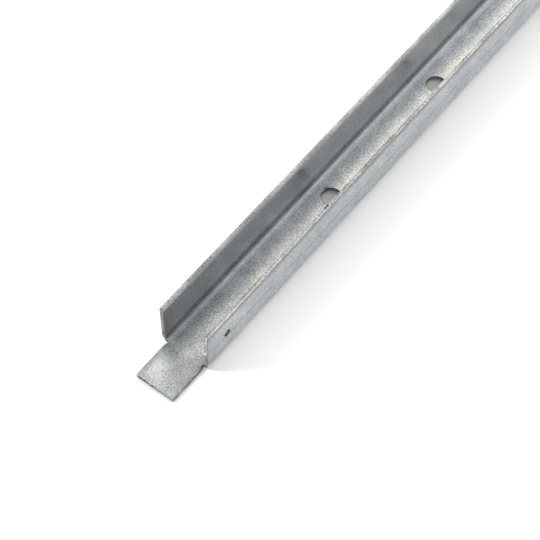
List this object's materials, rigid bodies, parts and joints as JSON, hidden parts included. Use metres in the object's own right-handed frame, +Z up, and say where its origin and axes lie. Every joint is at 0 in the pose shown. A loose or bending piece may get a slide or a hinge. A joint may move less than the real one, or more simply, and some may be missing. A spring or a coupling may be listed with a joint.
{
  "type": "mounting rail",
  "caption": "U-section galvanised steel mounting rail with round fixing holes along its web, a small hole in one flange and a flat tongue where the flanges are notched back at one end",
  "frame": {"origin": "under the middle of the web at mid length, on the plane that the web rests on", "axes": "+X across the rail towards the flange with the small hole, +Y along the rail away from the tongue, +Z up, the way the flanges stand"},
  "size_m": [0.04, 1, 0.04],
  "materials": {
    "zinc_steel": "hot-dip galvanised, matt grey zinc with fine grain, browner zinc lumps along one flange edge"
  },
  "bodies": {
    "root": {"channel": "zinc_steel"}
  },
  "joints": []
}
